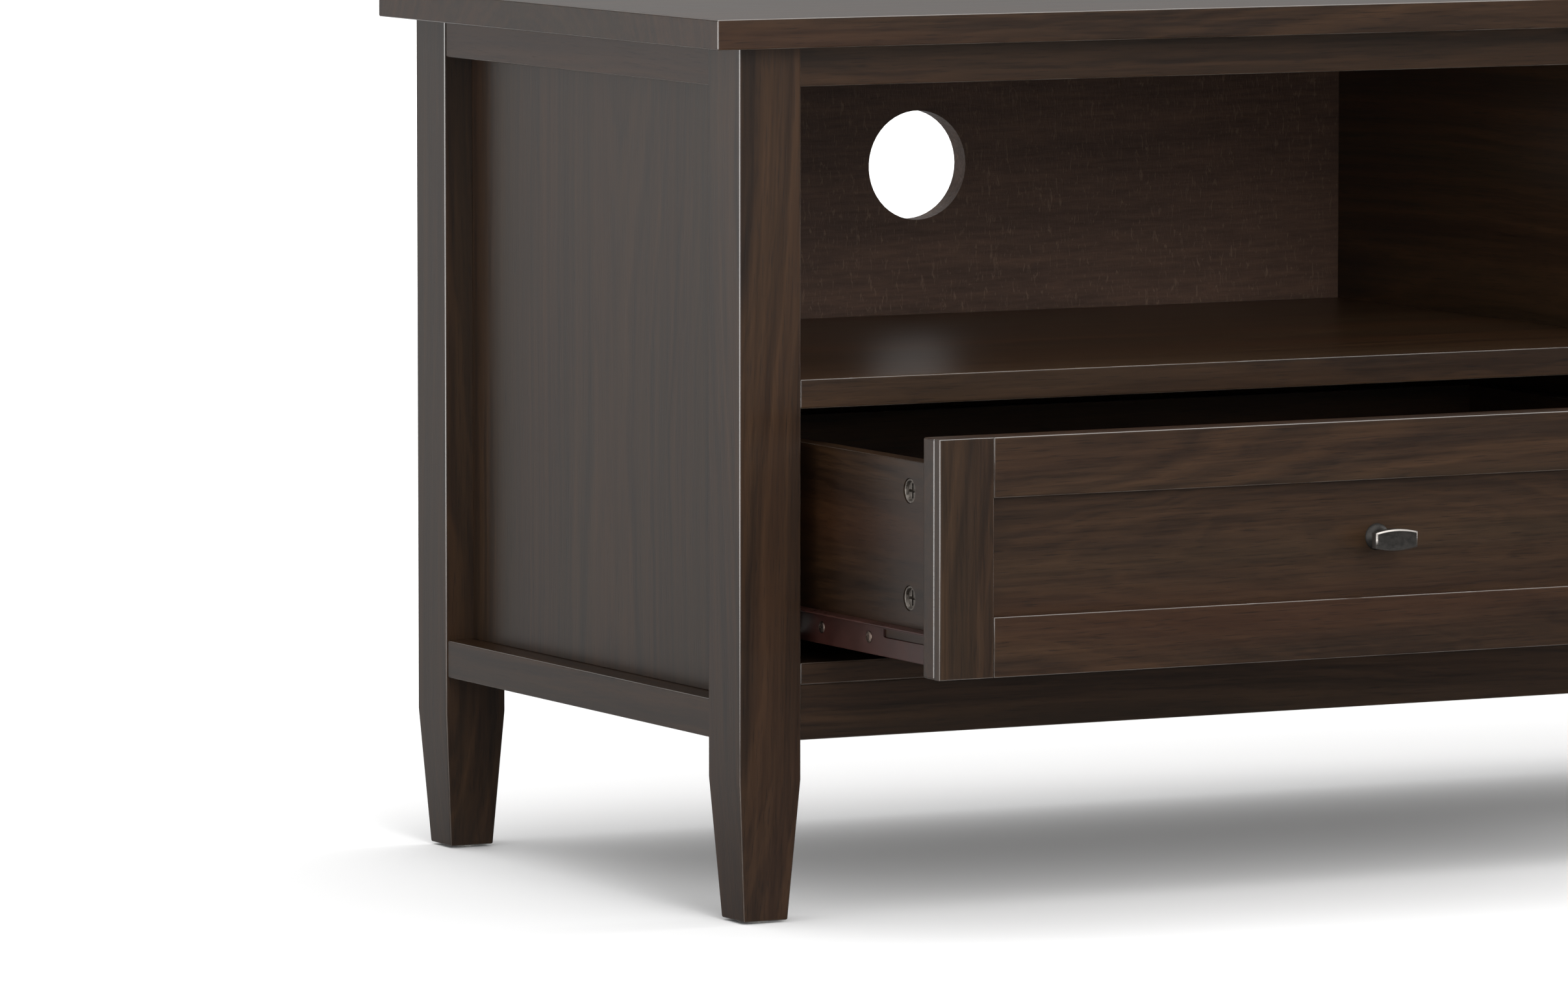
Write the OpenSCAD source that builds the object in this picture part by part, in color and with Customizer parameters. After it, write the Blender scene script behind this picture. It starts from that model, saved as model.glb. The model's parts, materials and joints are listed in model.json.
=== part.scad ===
// Media cabinet: two open bays above two inset drawers, on four posts with tapered feet.
// Millimetres, +Z up. The origin is on the floor, midway between the four posts.
// The front looks along -Y, and left is -X.

/* [Overall] */
// Width over the top panel
total_w = 1372; // [1140:2:1650]
// Height from the floor to the top surface
total_h = 540; // [450:2:680]
// Depth over the posts
body_d = 444; // [370:2:540]

/* [Top panel] */
// Thickness of the top panel
top_t = 18; // [15:0.5:30]
// Overhang past the posts at each side
top_side_over = 24; // [4:1:50]
// Overhang past the posts at the front
top_front_over = 19; // [0:1:50]
// Overhang past the posts at the back
top_back_over = 4; // [0:1:30]

/* [Posts and feet] */
// Side of a square post
post_w = 41; // [34:0.5:56]
// Height of the tapered foot
taper_h = 86; // [50:1:104]
// How far each of the four faces comes in at the floor
taper_in = 5.8; // [0:0.2:9]
// Thickness of the nail-on glide under each foot
glide_t = 1.5; // [1:0.5:4]
// Radius of a glide
glide_r = 9; // [6:0.5:11]

/* [Rails and aprons] */
// Height of the space under the rails
rail_clear = 109; // [90:1:160]
// Height of the top rails and of the top apron
top_rail_h = 24; // [18:1:40]
// Height of the bottom side rails
side_rail_h = 23.5; // [18:0.5:45]
// Height of the bottom apron and of the rear rail
apron_h = 33.5; // [24:0.5:45]
// Thickness of the aprons and of the rear rail
apron_t = 19.5; // [16:0.5:25]
// How far the aprons sit behind the post faces
apron_recess = 3.5; // [1.5:0.5:8]
// How far the side rails sit behind the post faces
rail_recess = 1; // [0:0.5:4]

/* [Boards] */
// Thickness of the bottom board
bottom_t = 13; // [10:0.5:22]
// Thickness of the shelves
shelf_t = 17.5; // [14:0.5:25]
// How far the front edges of the shelves and bottom board sit behind the post faces
shelf_recess = 1; // [0:0.5:4]
// Thickness of the centre divider
divider_t = 18; // [15:0.5:25]
// Depth of the side panels behind the outer faces of the posts
panel_recess = 19; // [8:0.5:24]
// Thickness of the back panels
back_t = 15; // [10:0.5:20]
// How far the back panels sit in front of the rear post faces
back_recess = 12.5; // [4:0.5:16]
// Radius of the cable hole in each back panel
cable_r = 35; // [20:1:55]
// How far the cable hole sits below the middle of the space above the shelf
cable_low = 3.25; // [-20:0.25:20]

/* [Drawers] */
// Height of the drawer opening
bay_h = 151.5; // [126:0.5:190]
// How far the drawer fronts sit behind the post faces
front_recess = 0.5; // [0:0.5:4]
// Gap between a drawer front and the posts beside it
front_side_gap = 2.3; // [1.5:0.1:4]
// Gap under a drawer front
front_low_gap = 6; // [2:0.5:8]
// Gap above a drawer front
front_top_gap = 5; // [2:0.5:8]
// Thickness of the drawer front's backing panel
front_panel_t = 13; // [10:0.5:18]
// Thickness of the frame applied to the drawer front
frame_t = 7.3; // [5:0.1:9]
// Width of the stiles of the drawer front's frame
stile_w = 36; // [25:0.5:55]
// Height of the rails of the drawer front's frame
frame_rail_h = 35.5; // [25:0.5:48]
// Space between a drawer box and the back panel
box_back_gap = 45.7; // [10:0.1:80]
// How far a drawer box ends below the top of its front
box_step = 16.8; // [5:0.1:40]
// Thickness of the drawer sides and back
box_t = 12; // [10:0.5:16]
// Thickness of the drawer bottom
box_bottom_t = 5; // [3:0.5:6]
// How far the left drawer stands open as drawn. Its travel ends 90 short of its box's length
left_open = 170; // [0:5:260]
// How far the right drawer stands open as drawn
right_open = 0; // [0:5:260]

/* [Runners] */
// Space between a drawer side and its wall, which the runner fills
runner_gap = 12.5; // [10:0.1:16]
// Thickness of the runner's steel
steel_t = 1.2; // [0.8:0.1:1.6]
// Height of the drawer runner
runner_h = 20; // [16:0.2:26]
// Radius of a roller
roller_r = 8; // [6:0.1:10]
// Height of the drawer runner above the underside of the drawer front
runner_up = 5.5; // [4:0.5:10]

/* [Knob] */
// Width of the knob's head
knob_w = 28.6; // [20:0.2:40]
// Height of the head in the middle
knob_h = 12.8; // [9:0.2:20]
// Height of the head at its ends
knob_end_h = 9.2; // [6:0.2:16]
// Thickness of the head
knob_head_t = 5.5; // [4:0.5:10]
// How far the knob stands out of the panel
knob_out = 24; // [16:0.5:35]

/* [Hidden] */
// Facets on round things
$fn = 48;

// Fasteners
dowel_r = 4;
dowel_len = 30;
dowel_spacing = 16;
bore_clear = 0.05;
end_clear = 0.5;
screw_r = 1.5;
screw_clear = 0.1;
screw_head_r = 3.6;
screw_head_t = 0.8;
wall_screw_in = 10;
screw_from_groove = 1;
drawer_side_screw_in = 30;
top_screw_r = 2;
top_screw_head_r = 4;
top_screw_head_t = 3;
top_screw_sink = 6;
top_screw_cover = 6;
back_screw_len = 32;
back_screw_bay_up = 50;
back_screw_end = 40;
back_screw_places = [0.12, 0.5, 0.88];
divider_screw_place = 0.25;
top_screw_places = [0.25, 0.7];
cut = 1;
cam_r = 7.5;
cam_clear = 0.1;
cam_depth = 9.5;
cam_sink = 0.5;
cam_back = 36;
cam_low = 36;
cam_high_down = 18;
cam_slot_w = 1.6;
cam_slot_depth = 1.5;
cam_slot_len = 9;
bolt_r = 3;
bolt_head_r = 3.4;
bolt_head_len = 2.5;
bolt_head_clear = 0.3;
bolt_start = 1;
bolt_bore_clear = 0.4;
bolt_in_front = 9;
glide_taper = 0.5;
nail_r = 1.2;
nail_len = 12;
knob_screw_r = 2;
knob_screw_in = 11;
knob_screw_end_clear = 1;
knob_screw_head_r = 4.2;
knob_screw_head_t = 2.2;
knob_neck_r = 4.5;
knob_base_r = 8;
knob_base_t = 3;
knob_bevel = 1;
knob_arc_fn = 200;

// Plan of the body
half_w = total_w / 2 - top_side_over;
front_y = -body_d / 2;
rear_y = body_d / 2;
inner_x = half_w - post_w;
stile_front_y = front_y + shelf_recess;
stile_back_y = front_y + apron_recess + apron_t;
back_y = rear_y - back_recess - back_t;
bay_w = inner_x - post_w / 2;
bay_x = (inner_x + post_w / 2) / 2;
apron_mid_y = front_y + apron_recess + apron_t / 2;

// Levels
body_top = total_h - top_t;
top_rail_z = body_top - top_rail_h;
bottom_z = rail_clear + apron_h;
bay_z = bottom_z + bottom_t;
shelf_z = bay_z + bay_h;
shelf_top = shelf_z + shelf_t;
cable_z = (shelf_top + body_top) / 2 - cable_low;

// Drawer front
drawer_y = front_y + front_recess;
front_w = bay_w - 2 * front_side_gap;
front_z = bay_z + front_low_gap;
front_h = bay_h - front_low_gap - front_top_gap;
panel_y = drawer_y + frame_t;
box_y = panel_y + front_panel_t;
knob_z = front_z + front_h / 2;

// Drawer box
box_x = bay_w / 2 - runner_gap;
box_len = back_y - box_back_gap - box_y;
box_h = front_h - runner_up - steel_t - box_step;
runner_z = front_z + runner_up;
box_z = runner_z + steel_t;
box_top = box_z + box_h;
groove_up = 10;
groove_z = box_z + groove_up;
groove_depth = 5;
groove_clear = 0.2;
groove_h = box_bottom_t + groove_clear;

// Runners: the roller runs between the two flanges of the cabinet runner, and under the
// top flange of the drawer runner
roller_clear = 0.2;
roller_x = 3;
roller_w = runner_gap - 2 * roller_x;
roller_end = 2;
roller_bore_r = 2.55;
axle_r = 2.5;
axle_head_r = 3.6;
axle_head_t = 0.6;
axle_side_clear = 0.2;
cabinet_flange_clear = 1.3;
drawer_flange_clear = 1.8;
flange_step = 1;
flange_gap = 2 * roller_r + 2 * roller_clear;
channel_h = 2 * steel_t + flange_gap;
cabinet_flange_w = runner_gap - steel_t - cabinet_flange_clear;
drawer_flange_w = runner_gap - 2 * steel_t - drawer_flange_clear;
under_flange_w = 10;
cabinet_runner_z = runner_z + runner_h - steel_t - flange_step - channel_h;
rear_roller_z = cabinet_runner_z + steel_t + roller_clear + roller_r;
front_roller_z = runner_z + runner_h - steel_t - roller_clear - roller_r;
runner_len = box_len;
cabinet_runner_y = box_y + 2;
front_roller_y = cabinet_runner_y + roller_r + roller_end;
channel_y = front_roller_y + roller_r + roller_end;
rear_roller_y = box_y + runner_len - roller_r - roller_end;
slot_h = 4.8;
slot_z = runner_z + runner_h - steel_t - slot_h;
slot_start = 6;
slot_end = 66;
drawer_screw_at = [84, 144, runner_len - 86];
drawer_screw_z = runner_z + runner_h / 2;
cabinet_screw_at = [40, runner_len / 2 - 7, runner_len - 54];
batten_h = 46;
batten_up = 2.5;
batten_z = bay_z + batten_up;

wood = [0.23, 0.165, 0.125];
dark_wood = [0.16, 0.115, 0.09];
pale_wood = [0.75, 0.6, 0.42];
brown_steel = [0.42, 0.22, 0.19];
zinc = [0.7, 0.7, 0.68];
black_metal = [0.12, 0.115, 0.11];
white_nylon = [0.88, 0.87, 0.84];

LEFT = -1;
RIGHT = 1;
FRONT = -1;
REAR = 1;

// ---------------------------------------------------------------- shared shapes

// A board, or a cut of that shape, between its low and high corners.
module board(low, high) {
    translate(low) cube(high - low);
}

// A cylinder that starts at a point and runs along +X, +Y or +Z, or back if len is negative.
module rod_x(at, r, len) {
    translate(at) rotate([0, len < 0 ? -90 : 90, 0]) cylinder(r = r, h = abs(len));
}
module rod_y(at, r, len) {
    translate(at) rotate([len < 0 ? 90 : -90, 0, 0]) cylinder(r = r, h = abs(len));
}
module rod_z(at, r, len) {
    translate(at) rotate([len < 0 ? 180 : 0, 0, 0]) cylinder(r = r, h = abs(len));
}

// Puts a piece in the left or right bay. It is made at x = 0 with its drawer shut.
module in_bay(side) {
    translate([side * bay_x, 0, 0]) children();
}
module in_drawer(side) {
    open = side == LEFT ? left_open : right_open;
    translate([side * bay_x, -open, 0]) children();
}

// ---------------------------------------------------------------- dowels

// Where the dowels of the side rails lie: [x, y of the joint, z], for one side.
function side_rail_dowels(side) = [
    for (z = [top_rail_z + top_rail_h / 2, rail_clear + side_rail_h / 2])
    for (end = [FRONT, REAR])
    for (shift = [-dowel_spacing / 2, dowel_spacing / 2])
    [side * (half_w - rail_recess - (post_w - rail_recess) / 2 + shift), end * (rear_y - post_w), z]
];

// Where the dowels of the aprons and rear rail lie: [x of the joint, y, z], for one side.
apron_dowel_zs = [rail_clear + apron_h / 2 - dowel_spacing / 2,
                  rail_clear + apron_h / 2 + dowel_spacing / 2];
function apron_dowels(side) = [
    [side * inner_x, apron_mid_y, top_rail_z + top_rail_h / 2],
    for (z = apron_dowel_zs) [side * inner_x, apron_mid_y, z],
    for (z = apron_dowel_zs) [side * inner_x, -apron_mid_y, z]
];

module dowel_set(r, len) {
    for (side = [LEFT, RIGHT]) {
        for (p = side_rail_dowels(side)) rod_y(p - [0, len / 2, 0], r, len);
        for (p = apron_dowels(side)) rod_x(p - [len / 2, 0, 0], r, len);
    }
}
module dowel_bores() {
    dowel_set(dowel_r + bore_clear, dowel_len + 2 * end_clear);
}

// ---------------------------------------------------------------- carcass screws

// Screws that come up through the top rails and top apron into the top panel.
top_screw_at = [
    for (side = [LEFT, RIGHT]) for (part = top_screw_places) [side * part * inner_x, apron_mid_y],
    for (side = [LEFT, RIGHT]) for (y = [-rear_y / 2, rear_y / 2])
        [side * (half_w - post_w / 2), y]
];
// Screws through the back panels into the shelves, bottom board and divider.
back_screw_at = [
    for (side = [LEFT, RIGHT]) for (part = back_screw_places)
        [side * (part * (inner_x - divider_t) + divider_t), shelf_z + shelf_t / 2],
    for (side = [LEFT, RIGHT])
    for (z = [bay_z + back_screw_bay_up, shelf_top + back_screw_end, body_top - back_screw_end])
        [side * divider_t * divider_screw_place, z]
];

module top_screw(p, extra) {
    start = top_rail_z + top_screw_sink;
    rod_z([p.x, p.y, start], top_screw_r + extra, total_h - top_screw_cover - start);
    rod_z([p.x, p.y, start + extra], top_screw_head_r + extra, -top_screw_head_t - extra);
}
module top_screw_way(p) {
    top_screw(p, screw_clear);
    rod_z([p.x, p.y, top_rail_z + top_screw_sink], top_screw_head_r + screw_clear, -top_screw_sink - cut);
}
module back_screw(p, extra) {
    face = back_y + back_t;
    rod_y([p.x, face, p[1]], screw_r + extra, -back_screw_len);
    if (extra == 0) rod_y([p.x, face, p[1]], screw_head_r, screw_head_t);
}
module back_screw_bores() {
    for (p = back_screw_at) back_screw(p, screw_clear);
}

// Screws that hold the cabinet runners, from the runner's web outwards into the wall.
module bay_runner_screws(r, with_heads) {
    for (side = [LEFT, RIGHT]) in_bay(side)
        for (wall = [LEFT, RIGHT]) for (at = cabinet_screw_at) {
            from = [wall * (bay_w / 2 - steel_t), cabinet_runner_y + at, rear_roller_z];
            rod_x(from, r, wall * (steel_t + wall_screw_in));
            if (with_heads) rod_x(from, screw_head_r, -wall * screw_head_t);
        }
}

module carcass_screws() {
    color(zinc) {
        for (p = top_screw_at) top_screw(p, 0);
        for (p = back_screw_at) back_screw(p, 0);
        bay_runner_screws(screw_r, true);
    }
}

module carcass_dowels() {
    color(pale_wood) dowel_set(dowel_r, dowel_len);
}

// ---------------------------------------------------------------- posts and feet

// A post seen from one side: straight above the foot, and tapered below it.
module post_outline() {
    half = post_w / 2;
    foot = half - taper_in;
    polygon([
        [-foot, glide_t], [foot, glide_t], [half, taper_h], [half, body_top],
        [-half, body_top], [-half, taper_h]
    ]);
}
module post_prism() {
    translate([0, post_w / 2, 0]) rotate([90, 0, 0]) linear_extrude(post_w) post_outline();
}
module post_blank() {
    intersection() {
        post_prism();
        rotate([0, 0, 90]) post_prism();
    }
}
module post(side, end) {
    x = side * (half_w - post_w / 2);
    y = end * (rear_y - post_w / 2);
    color(wood) difference() {
        translate([x, y, 0]) post_blank();
        dowel_bores();
        rod_z([x, y, 0], nail_r + bore_clear, glide_t + nail_len + end_clear);
    }
}
module floor_glides() {
    color(white_nylon)
        for (x = [-1, 1]) for (y = [-1, 1])
            translate([x * (half_w - post_w / 2), y * (rear_y - post_w / 2), 0]) {
                cylinder(r1 = glide_r - glide_taper, r2 = glide_r, h = glide_t);
                cylinder(r = nail_r, h = glide_t + nail_len);
            }
}

// ---------------------------------------------------------------- rails, aprons and panels

module side_rail(side, z, h) {
    x0 = side == LEFT ? -half_w + rail_recess : inner_x;
    color(wood) difference() {
        board([x0, front_y + post_w, z], [x0 + post_w - rail_recess, rear_y - post_w, z + h]);
        dowel_bores();
        for (p = top_screw_at) top_screw_way(p);
    }
}
module side_panel(side) {
    x0 = side == LEFT ? -half_w + panel_recess : inner_x;
    color(wood) difference() {
        board([x0, front_y + post_w, rail_clear + side_rail_h],
              [x0 + post_w - panel_recess, rear_y - post_w, top_rail_z]);
        bay_runner_screws(screw_r + screw_clear, false);
    }
}
module front_apron(z, h) {
    color(wood) difference() {
        board([-inner_x, front_y + apron_recess, z],
              [inner_x, front_y + apron_recess + apron_t, z + h]);
        dowel_bores();
        for (p = top_screw_at) top_screw_way(p);
    }
}
module rear_rail() {
    color(wood) difference() {
        board([-inner_x, rear_y - apron_recess - apron_t, rail_clear],
              [inner_x, rear_y - apron_recess, rail_clear + apron_h]);
        dowel_bores();
    }
}
module top_panel() {
    color(wood) difference() {
        board([-total_w / 2, front_y - top_front_over, body_top],
              [total_w / 2, rear_y + top_back_over, total_h]);
        for (p = top_screw_at) top_screw(p, screw_clear);
    }
}

// ---------------------------------------------------------------- boards inside

module centre_stile() {
    color(wood)
        board([-post_w / 2, stile_front_y, bay_z], [post_w / 2, stile_back_y, top_rail_z]);
}
module centre_divider() {
    color(wood) difference() {
        board([-divider_t / 2, stile_back_y, bay_z], [divider_t / 2, back_y, body_top]);
        back_screw_bores();
        bay_runner_screws(screw_r + screw_clear, false);
    }
}
module runner_battens() {
    color(dark_wood) difference() {
        for (side = [LEFT, RIGHT]) {
            x0 = side == LEFT ? -post_w / 2 : divider_t / 2;
            board([x0, stile_back_y, batten_z],
                  [x0 + (post_w - divider_t) / 2, back_y, batten_z + batten_h]);
        }
        bay_runner_screws(screw_r + screw_clear, false);
    }
}
module shelf(side) {
    x0 = side == LEFT ? -inner_x : divider_t / 2;
    color(wood) difference() {
        board([x0, stile_front_y, shelf_z], [x0 + inner_x - divider_t / 2, back_y, shelf_top]);
        board([-post_w / 2, stile_front_y - cut, shelf_z - cut],
              [post_w / 2, stile_back_y, shelf_top + cut]);
        back_screw_bores();
    }
}
module bottom_board() {
    color(wood)
        board([-inner_x, stile_front_y, bottom_z], [inner_x, back_y + back_t, bay_z]);
}
module back_panel(side) {
    x0 = side == LEFT ? -inner_x : 0;
    color(dark_wood) difference() {
        board([x0, back_y, bay_z], [x0 + inner_x, back_y + back_t, body_top]);
        rod_y([side * bay_x, back_y - cut, cable_z], cable_r, back_t + 2 * cut);
        back_screw_bores();
    }
}

// ---------------------------------------------------------------- cabinet runners

// Outline of a cabinet runner against a wall at x = 0: a web with two flanges.
module cabinet_runner_channel() {
    polygon([
        [0, 0], [cabinet_flange_w, 0], [cabinet_flange_w, steel_t], [steel_t, steel_t],
        [steel_t, steel_t + flange_gap], [cabinet_flange_w, steel_t + flange_gap],
        [cabinet_flange_w, 2 * steel_t + flange_gap], [0, 2 * steel_t + flange_gap]
    ]);
}
// A cabinet runner on a wall at x = 0, reaching along +X, with the front roller's axle.
module cabinet_runner() {
    difference() {
        union() {
            translate([0, cabinet_runner_y + runner_len, cabinet_runner_z]) rotate([90, 0, 0])
                linear_extrude(cabinet_runner_y + runner_len - channel_y) cabinet_runner_channel();
            board([0, cabinet_runner_y, cabinet_runner_z],
                  [steel_t, channel_y, cabinet_runner_z + channel_h]);
            axle([0, front_roller_y, front_roller_z], steel_t);
        }
        for (at = cabinet_screw_at)
            rod_x([-cut, cabinet_runner_y + at, rear_roller_z], screw_r + screw_clear, steel_t + 2 * cut);
    }
}
// An axle that stands on a web of thickness web, with a flat head that keeps its roller on.
module axle(at, web) {
    head_x = roller_x + roller_w + axle_side_clear;
    rod_x(at + [web / 2, 0, 0], axle_r, head_x - web / 2);
    rod_x(at + [head_x, 0, 0], axle_head_r, axle_head_t);
}
module bay_runners(side) {
    color(brown_steel) in_bay(side) {
        translate([-bay_w / 2, 0, 0]) cabinet_runner();
        mirror([1, 0, 0]) translate([-bay_w / 2, 0, 0]) cabinet_runner();
    }
}

// A roller with its bore, from the wall side at x = 0.
module roller(at) {
    difference() {
        rod_x(at, roller_r, roller_w);
        rod_x(at - [cut, 0, 0], roller_bore_r, roller_w + 2 * cut);
    }
}
module bay_rollers(side) {
    at = [roller_x - bay_w / 2, front_roller_y, front_roller_z];
    color(white_nylon) in_bay(side) {
        roller(at);
        mirror([1, 0, 0]) roller(at);
    }
}

// ---------------------------------------------------------------- drawer front

module drawer_panel(side) {
    color(wood) in_drawer(side) difference() {
        board([-front_w / 2, panel_y, front_z], [front_w / 2, box_y, front_z + front_h]);
        board([-box_x + box_t - groove_depth, box_y - groove_depth, groove_z],
              [box_x - box_t + groove_depth, box_y + cut, groove_z + groove_h]);
        cam_bolt_bores();
        rod_y([0, panel_y - cut, knob_z], knob_screw_r + 2 * screw_clear, front_panel_t + 2 * cut);
    }
}

module drawer_stile(side, hand) {
    x0 = hand == LEFT ? -front_w / 2 : front_w / 2 - stile_w;
    color(wood) in_drawer(side)
        board([x0, drawer_y, front_z], [x0 + stile_w, panel_y, front_z + front_h]);
}
module drawer_front_rail(side, low) {
    half = front_w / 2 - stile_w;
    z0 = low ? front_z : front_z + front_h - frame_rail_h;
    color(wood) in_drawer(side)
        board([-half, drawer_y, z0], [half, panel_y, z0 + frame_rail_h]);
}

// ---------------------------------------------------------------- drawer box

module drawer_side(side, hand) {
    x0 = hand == LEFT ? -box_x : box_x - box_t;
    color(wood) in_drawer(side) difference() {
        board([x0, box_y, box_z], [x0 + box_t, box_y + box_len, box_top]);
        board([-box_x + box_t - groove_depth, box_y - cut, groove_z],
              [box_x - box_t + groove_depth, box_y + box_len + cut, groove_z + groove_h]);
        cam_bores();
        cam_bolt_bores();
        drawer_runner_screws(screw_r + screw_clear, false);
        drawer_back_screws(screw_clear);
    }
}
module drawer_back(side) {
    half = box_x - box_t;
    color(wood) in_drawer(side) difference() {
        board([-half, box_y + box_len - box_t, groove_z + groove_h],
              [half, box_y + box_len, box_top]);
        drawer_back_screws(screw_clear);
    }
}
module drawer_bottom(side) {
    half = box_x - box_t + groove_depth - end_clear;
    color(dark_wood) in_drawer(side)
        board([-half, box_y - groove_depth + end_clear, groove_z + groove_clear / 2],
              [half, box_y + box_len, groove_z + groove_clear / 2 + box_bottom_t]);
}

// ---------------------------------------------------------------- drawer fasteners

cam_zs = [box_z + cam_low, box_top - cam_high_down];

module each_cam() {
    for (hand = [LEFT, RIGHT]) for (z = cam_zs)
        mirror([hand == LEFT ? 0 : 1, 0, 0]) translate([-box_x, box_y + cam_back, z]) children();
}
module cam_bores() {
    each_cam() rod_x([-cut, 0, 0], cam_r, cam_depth + cut);
}
module cam_bolt_bores() {
    each_cam() rod_y([box_t / 2, 0, 0], bolt_r + bolt_bore_clear, -cam_back - bolt_in_front - end_clear);
}
module cam_lock() {
    r = cam_r - cam_clear;
    difference() {
        rod_x([cam_sink, 0, 0], r, cam_depth - cam_sink - cam_clear);
        rod_y([box_t / 2, 0, 0], bolt_head_r + bolt_head_clear, -cam_r - cut);
        for (turn = [0, 90]) rotate([turn, 0, 0])
            translate([cam_sink - cut, -cam_slot_len / 2, -cam_slot_w / 2])
                cube([cam_slot_depth + cut, cam_slot_len, cam_slot_w]);
    }
}
module cam_bolt() {
    rod_y([box_t / 2, -bolt_start, 0], bolt_head_r, -bolt_head_len);
    rod_y([box_t / 2, -bolt_start, 0], bolt_r, -cam_back - bolt_in_front + bolt_start);
}
module drawer_cams(side) {
    color(zinc) in_drawer(side) each_cam() {
        cam_lock();
        cam_bolt();
    }
}

module drawer_runner_screws(r, with_heads) {
    for (hand = [LEFT, RIGHT]) for (at = drawer_screw_at) {
        from = [hand * (box_x + steel_t), box_y + at, drawer_screw_z];
        rod_x(from, r, -hand * (steel_t + box_t - groove_depth - screw_from_groove));
        if (with_heads) rod_x(from, screw_head_r, hand * screw_head_t);
    }
}
module drawer_back_screws(extra) {
    for (hand = [LEFT, RIGHT]) for (z = cam_zs) {
        from = [hand * box_x, box_y + box_len - box_t / 2, z];
        rod_x(from, screw_r + extra, -hand * drawer_side_screw_in);
        if (extra == 0) rod_x(from, screw_head_r, hand * screw_head_t);
    }
}
module knob_screw() {
    rod_y([0, box_y, knob_z], knob_screw_r, -front_panel_t - knob_screw_in + knob_screw_end_clear);
    rod_y([0, box_y, knob_z], knob_screw_head_r, knob_screw_head_t);
}
module drawer_screws(side) {
    color(zinc) in_drawer(side) {
        drawer_runner_screws(screw_r, true);
        drawer_back_screws(0);
        knob_screw();
    }
}

// ---------------------------------------------------------------- knob

// The head has flat ends, and its top and bottom are each one arc.
arc_rise = (knob_h - knob_end_h) / 2;
arc_r = (knob_w * knob_w / 4 + arc_rise * arc_rise) / (2 * arc_rise);
module knob_arc(dir, inset) {
    translate([0, dir * (arc_r - knob_h / 2)]) circle(r = arc_r - inset, $fn = knob_arc_fn);
}
module knob_slab(inset, y, t) {
    translate([0, y, knob_z]) rotate([90, 0, 0]) linear_extrude(t) intersection() {
        square([knob_w - 2 * inset, knob_h], center = true);
        knob_arc(1, inset);
        knob_arc(-1, inset);
    }
}
module drawer_knob(side) {
    face_y = panel_y - knob_out;
    color(black_metal) in_drawer(side) difference() {
        union() {
            knob_slab(0, face_y + knob_head_t, knob_head_t - knob_bevel);
            knob_slab(knob_bevel, face_y + knob_bevel, knob_bevel);
            rod_y([0, face_y + knob_head_t - cut, knob_z], knob_neck_r, knob_out - knob_head_t + cut);
            translate([0, panel_y, knob_z]) rotate([90, 0, 0])
                cylinder(r1 = knob_base_r, r2 = knob_neck_r, h = knob_base_t);
        }
        rod_y([0, panel_y + cut, knob_z], knob_screw_r + bore_clear, -knob_screw_in - cut);
    }
}

// ---------------------------------------------------------------- drawer runners

// A drawer runner on a drawer side at x = 0, reaching along -X to the wall, with the rear
// roller's axle. Its lower flange goes under the drawer side.
module drawer_runner() {
    difference() {
        union() {
            translate([0, box_y + runner_len, runner_z]) rotate([90, 0, 0])
                linear_extrude(runner_len) polygon([
                    [-steel_t, 0], [under_flange_w, 0], [under_flange_w, steel_t], [0, steel_t],
                    [0, runner_h], [-steel_t - drawer_flange_w, runner_h],
                    [-steel_t - drawer_flange_w, runner_h - steel_t],
                    [-steel_t, runner_h - steel_t]
                ]);
            mirror([1, 0, 0]) rear_axle();
        }
        board([-steel_t - cut, box_y + slot_start, slot_z - slot_h / 2],
              [cut, box_y + slot_end, slot_z + slot_h / 2]);
        for (at = drawer_screw_at)
            rod_x([-steel_t - cut, box_y + at, drawer_screw_z], screw_r + screw_clear, steel_t + 2 * cut);
    }
}
// The rear roller's axle, made along +X from the web, and ending beside the wall.
module rear_axle() {
    reach = runner_gap - roller_x + axle_side_clear;
    rod_x([steel_t / 2, rear_roller_y, rear_roller_z], axle_r, reach - steel_t / 2);
    rod_x([reach, rear_roller_y, rear_roller_z], axle_head_r, axle_head_t);
}
module drawer_runner_on(side, hand) {
    color(brown_steel) in_drawer(side)
        mirror([hand == LEFT ? 0 : 1, 0, 0]) translate([-box_x, 0, 0]) drawer_runner();
}
module drawer_rollers(side) {
    at = [roller_x - bay_w / 2, rear_roller_y, rear_roller_z];
    color(white_nylon) in_drawer(side) {
        roller(at);
        mirror([1, 0, 0]) roller(at);
    }
}

// ---------------------------------------------------------------- nodes

top_panel();
post(LEFT, FRONT);  // front_left_post
post(RIGHT, FRONT);  // front_right_post
post(LEFT, REAR);  // rear_left_post
post(RIGHT, REAR);  // rear_right_post
side_rail(LEFT, top_rail_z, top_rail_h);  // left_top_rail
side_rail(LEFT, rail_clear, side_rail_h);  // left_bottom_rail
side_panel(LEFT);  // left_side_panel
side_rail(RIGHT, top_rail_z, top_rail_h);  // right_top_rail
side_rail(RIGHT, rail_clear, side_rail_h);  // right_bottom_rail
side_panel(RIGHT);  // right_side_panel
front_apron(top_rail_z, top_rail_h);  // top_apron
front_apron(rail_clear, apron_h);  // bottom_apron
rear_rail();
centre_stile();
centre_divider();
runner_battens();
shelf(LEFT);  // left_shelf
shelf(RIGHT);  // right_shelf
bottom_board();
back_panel(LEFT);  // left_back_panel
back_panel(RIGHT);  // right_back_panel
carcass_dowels();
carcass_screws();
floor_glides();
bay_runners(LEFT);  // left_bay_runners
bay_runners(RIGHT);  // right_bay_runners
bay_rollers(LEFT);  // left_bay_rollers
bay_rollers(RIGHT);  // right_bay_rollers
drawer_panel(LEFT);  // left_drawer_panel
drawer_stile(LEFT, LEFT);  // left_drawer_stile_a
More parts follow.
